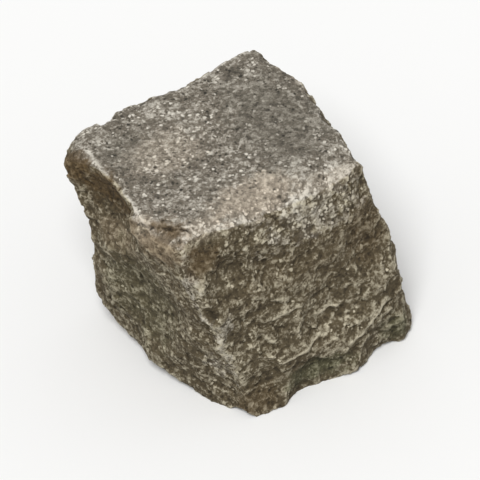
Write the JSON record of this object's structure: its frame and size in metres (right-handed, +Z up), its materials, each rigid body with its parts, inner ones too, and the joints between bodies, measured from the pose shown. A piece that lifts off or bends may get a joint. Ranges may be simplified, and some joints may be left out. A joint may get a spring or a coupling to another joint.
{
  "type": "basalt paving sett",
  "caption": "Hand-split, roughly cubic block of dark basalt with a flat head, cleft sides and worn arrises, laid in rows as paving.",
  "frame": {"origin": "middle of the sett's outline in plan, on the level of its bed", "axes": "+Z up from the bed to the head, -Y towards the front side, -X towards the left side, both of which the picture shows"},
  "size_m": [0.1174, 0.1024, 0.1],
  "materials": {
    "basalt": "split, rough and matt, with bruised arrises"
  },
  "bodies": {
    "root": {"sett": "basalt"}
  },
  "joints": []
}
